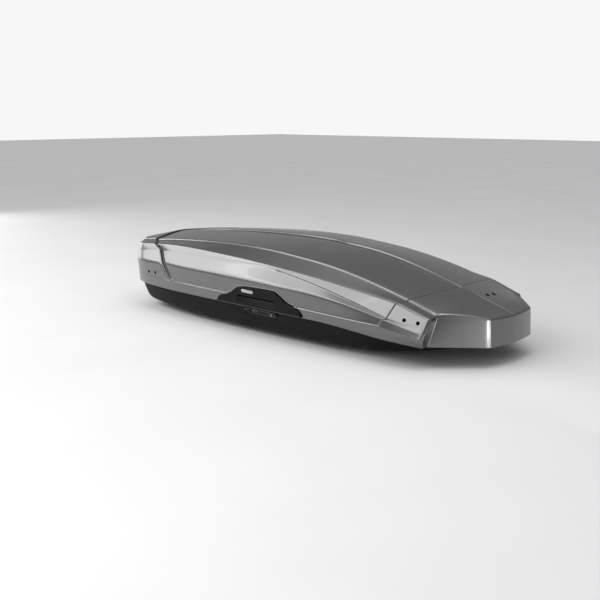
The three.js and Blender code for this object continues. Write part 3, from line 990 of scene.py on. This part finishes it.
def prism(name, outline, y_low, y_high, material):
    """An outline of (x, z) points drawn out along Y."""
    count = len(outline)
    vertices = [(x, y, z) for y in (y_low, y_high) for x, z in outline]
    faces = [tuple(range(count)), tuple(range(count, 2 * count))]
    for k in range(count):
        m = (k + 1) % count
        faces.append((k, m, count + m, count + k))
    piece = make_object(name, vertices, faces, [material], smooth=False)
    recalculate_normals(piece)
    return piece


def side_box(x, y, z, side):
    """The low and high corners of a box, its y range mirrored to the given side."""
    return (x[0], side * y[0], z[0]), (x[1], side * y[1], z[1])


def pocket_openings():
    """The lid's openings behind the two handle trims."""
    return [side_box(*LID_OPENING, side) for _, side in SIDES]


def add_handle_trim(word, side):
    """The black side trim: a plate with a raised border, a scooped handle and a plain badge."""
    outline = rounded(TRIM_OUTLINE, 3)
    trim = prism(f"trim_{word}", outline, side * TRIM_BACK_Y, side * TRIM_FACE_Y, "trim_plastic")
    pocket = box_mesh("pocket", *side_box(*POCKET_OUTSIDE, side))
    combine(trim, [pocket], "UNION")
    scoop = rounded_box("scoop", *side_box(*SCOOP, side), 0.003, "trim_plastic")
    fingers = box_mesh("fingers", *side_box(*FINGER_SLOT, side))
    cavity = box_mesh("cavity", *side_box(*FINGER_CAVITY, side))
    combine(trim, [scoop, fingers, cavity])
    bevel(trim, 0.0005, segments=2, angle=35)
    add_piece(trim, "lid")
    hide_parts(f"handle_trim_{word}")

    inner = offset_path(outline, -BORDER_INSET)
    border = bead(f"trim_border_{word}", inner, trim_face, 0.005, 0.0013, "trim_plastic", side)
    add_piece(border, "lid")
    above = [point for point in offset_path(outline, BORDER_INSET) if point[1] > 0.150]
    surround = bead(f"trim_surround_{word}", above, side_surface, 0.006, 0.0028, "lid_paint", side)
    add_piece(surround, "lid")
    badge = rounded_box(f"trim_badge_{word}", *side_box(*BADGE, side), 0.0004, "badge")
    add_piece(badge, "lid")


def add_lock_bezel(word, side):
    """A raised frame around the slider and the key, on the housing's sloping face."""
    path = rounded(BEZEL_OUTLINE, 2, closed=True)
    bezel = bead(f"lock_bezel_{word}", path, lock_face, 0.0034, 0.0020, "slider_plastic", side, closed=True)
    add_piece(bezel, "root")
    ring = [(KEY_AT[0] + COLLAR_R * math.cos(a), KEY_AT[1] + COLLAR_R * math.sin(a)) for a in RING_ANGLES]
    collar = bead(f"key_collar_{word}", ring, lock_face, 0.0030, 0.0016, "slider_plastic", side, closed=True)
    add_piece(collar, "root")


def screw_head(name, at, normal, radius, material="screw_black"):
    """A low domed screw head with a round socket."""
    turns = 20
    vertices = []
    for share, height in SCREW_PROFILE:
        for k in range(turns):
            a = 2 * math.pi * k / turns
            vertices.append((math.cos(a) * radius * share, math.sin(a) * radius * share, height))
    faces = turned_faces(len(SCREW_PROFILE), turns)
    turn = Vector(normal).to_track_quat("Z", "Y").to_matrix()
    placed = [turn @ Vector(v) + Vector(at) for v in vertices]
    piece = make_object(name, placed, faces, [material])
    weld(piece)
    return piece


def surface_point(piece, start, direction):
    """Where a straight line first meets a piece, and the way the piece faces there."""
    hit, place, normal, _ = piece.ray_cast(Vector(start), Vector(direction))
    if not hit:
        raise RuntimeError(f"no surface in front of {start}")
    return place, normal


def add_screws(lid):
    spots = []
    for word, side in SIDES:
        for number, (x, z) in enumerate(SIDE_SCREWS):
            spots.append((f"screw_{word}_{number}", (x, side * 1.0, z), (0, -side, 0), SCREW_R))
    for number, (x, y) in enumerate(TOP_SCREWS):
        spots.append((f"screw_top_{number}", (x, y, 1.0), (0, 0, -1), TOP_SCREW_R))
    for name, start, direction, radius in spots:
        place, normal = surface_point(lid, start, direction)
        add_piece(screw_head(name, place, normal, radius), "lid")


# ---------------------------------------------------------------- inside the box
# height and radius of the knob from its stem's foot over the rim to the dished middle of its top
KNOB_PROFILE = [
    (0.0285, 0.0000),
    (0.0285, 0.0085),
    (0.0405, 0.0090),
    (0.0405, 0.0250),
    (0.0418, 0.0285),
    (0.0450, 0.0300),
    (0.0520, 0.0297),
    (0.0560, 0.0275),
    (0.0580, 0.0240),
    (0.0584, 0.0200),
    (0.0566, 0.0165),
    (0.0560, 0.0150),
    (0.0560, 0.0000),
]
GRIPS = 6
GRIP_DEPTH = 0.16  # share of the rim's radius
STRAP_WIDTH = 0.038
STRAP_WALL = 0.0016
# how high the strap lies at each distance from the middle: it sags between the rails
STRAP_LIE = [
    (0.0, 0.0205),
    (0.040, 0.0205),
    (0.120, 0.0165),
    (0.160, 0.0185),
    (0.215, 0.0200),
    (0.262, 0.0196),
    (0.290, 0.0140),
]
STRAP_HALF = 0.290
FOLD_STOPS = (0.248, 0.255, 0.262, 0.270, 0.280, 0.289)
FOLD_LIFT = 0.0021  # the folded ends and the loose tail lie on top of the band
TAIL_LIFT = 0.0022


def add_knob(tag):
    """A round clamp knob with finger grips around its rim."""
    low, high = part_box(f"clamp_knob_{tag}")
    x, y = (low.x + high.x) / 2, (low.y + high.y) / 2
    turns = GRIPS * 12
    vertices = []
    for height, radius in KNOB_PROFILE:
        for k in range(turns):
            a = 2 * math.pi * k / turns
            grip = GRIP_DEPTH * (0.5 + 0.5 * math.cos(GRIPS * a)) ** 2 * (radius > 0.022)
            r = radius * (1 - grip)
            vertices.append((x + r * math.cos(a), y + r * math.sin(a), height))
    faces = turned_faces(len(KNOB_PROFILE), turns)
    knob = make_object(f"knob_{tag}_cap", vertices, faces, ["knob_plastic"])
    weld(knob)
    add_piece(knob, f"knob_{tag}")
    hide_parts(f"clamp_knob_{tag}")


def ribbon(name, x, path, width):
    """A flat woven strip along a path of (y, z), with slightly thicker edges."""
    half, wall = width / 2, STRAP_WALL / 2
    edge = wall * 1.35
    section = [(-half, 0.0), (-half + 0.0006, edge), (-half + 0.0035, edge), (-half + 0.0045, wall)]
    section += [(-u, v) for u, v in reversed(section)]
    section += [(u, -v) for u, v in reversed(section[1:-1])]
    vertices, faces = [], []
    for i, (y, z) in enumerate(path):
        before, after = path[max(i - 1, 0)], path[min(i + 1, len(path) - 1)]
        along = (Vector(after) - Vector(before)).normalized()
        for u, v in section:
            vertices.append((x + u, y - along.y * v, z + along.x * v))
    ring = len(section)
    for i in range(len(path) - 1):
        for k in range(ring):
            m = (k + 1) % ring
            faces.append((i * ring + k, i * ring + m, (i + 1) * ring + m, (i + 1) * ring + k))
    faces.append(tuple(range(ring)))
    faces.append(tuple(range((len(path) - 1) * ring, len(path) * ring)))
    piece = make_object(name, vertices, faces, ["webbing"])
    recalculate_normals(piece)
    return piece


def strap_lie(y):
    """How high the strap lies at a place across the box."""
    return between(STRAP_LIE, abs(y))[0]


def add_strap(word):
    """A luggage strap across the floor: band, folded ends, loose tail and cam buckle."""
    low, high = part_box(f"luggage_strap_{word}")
    x = (low.x + high.x) / 2
    steps = [STRAP_HALF * (k / 40 - 1) for k in range(81)]
    band = ribbon(f"strap_{word}_band", x, [(y, strap_lie(y)) for y in steps], STRAP_WIDTH)
    add_piece(band, "root")
    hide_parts(f"luggage_strap_{word}")
    for end, side in SIDES:
        path = [(side * y, strap_lie(y) + FOLD_LIFT) for y in FOLD_STOPS]
        fold = ribbon(f"strap_{word}_fold_{end}", x, path, STRAP_WIDTH - 0.001)
        add_piece(fold, "root")
    path = []
    for k in range(11):
        y = 0.030 + 0.010 * k
        path.append((y, strap_lie(y) + TAIL_LIFT + 0.0012 * math.sin(k)))
    add_piece(ribbon(f"strap_{word}_tail", x, path, STRAP_WIDTH - 0.001), "root")

    low, high = (x - 0.027, -0.035, 0.0225), (x + 0.027, 0.035, 0.0305)
    buckle = rounded_box(f"strap_{word}_buckle", low, high, 0.0030, "trim_plastic")
    slots = []
    for y in (-0.022, 0.012):
        slots.append(box_mesh("slot", (x - 0.018, y, 0.010), (x + 0.018, y + 0.010, 0.040)))
    combine(buckle, slots)
    bevel(buckle, 0.0006, segments=2, angle=50)
    add_piece(buckle, "root")
    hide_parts(f"strap_buckle_{word}")
    low, high = (x - 0.0165, -0.010, 0.0290), (x + 0.0165, 0.032, 0.0335)
    lever = rounded_box(f"strap_{word}_lever", low, high, 0.0016, "trim_plastic")
    add_piece(lever, "root")


# ---------------------------------------------------------------- scene
bpy.context.scene.view_settings.view_transform = "Standard"
add_camera()
add_world()
floor = box_mesh("floor", (-FLOOR_HALF, -FLOOR_HALF, FLOOR_Z - 0.05), (FLOOR_HALF, FLOOR_HALF, FLOOR_Z))
floor.data.materials.clear()
floor.data.materials.append(floor_paper())

add_light("rear_softbox", (-4.4, -2.55, 2.0), (-0.6, -0.40, 0.28), 1.0, 72, (4.0, 2.0))
add_light("side_softbox", (-2.3, -2.75, 3.15), (0.2, -0.40, 0.25), 1.0, 42, (2.4, 2.3))
add_light("front_softbox", (-0.1, -3.6, 3.10), (0.75, -0.38, 0.18), 1.0, 32, (2.2, 1.8))
add_light("tail_softbox", (-6.0, 0.2, 1.0), (-1.08, -0.36, 0.25), 1.0, 26, (2.0, 1.8))
add_light("overhead", (1.15, -0.75, 3.2), (1.0, -0.2, 0.18), 1.0, 14, (1.0, 1.0))
add_light("corner_card", (1.1, -3.3, 1.25), (0.87, -0.32, 0.13), 0.7, 9)
nose_card = add_light("nose_card", (1.78, -0.41, 0.03), (1.04, -0.168, 0.11), 0.30, 0.21, (1.2, 0.4))
nose_card.data.spread = math.radians(50)  # keeps its light off the floor

lid = build_lid()
cut_boxes(lid, pocket_openings())
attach(lid, "lid")
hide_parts("lid_shell")

tub = build_tub()
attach(tub, "root")
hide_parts("base_shell")

for word, side in SIDES:
    add_handle_trim(word, side)
    add_lock_bezel(word, side)
add_screws(lid)
for place in ("rear", "front"):
    add_strap(place)
    for word, _ in SIDES:
        add_knob(f"{place}_{word}")

# carried-over CAD nodes: each takes its slot's material and a small edge bevel
slot_of = {part["node"]: part["material_slot"] for part in frame["record"]["subparts"]}
for name, node in NODES.items():
    if node.hide_render:
        continue
    node.data.materials.clear()
    material = "slider_plastic" if name.startswith("lock_slider") else slot_of[name]
    node.data.materials.append(MATERIALS[material])
    bevel(node, CAD_BEVEL, segments=2, angle=40)
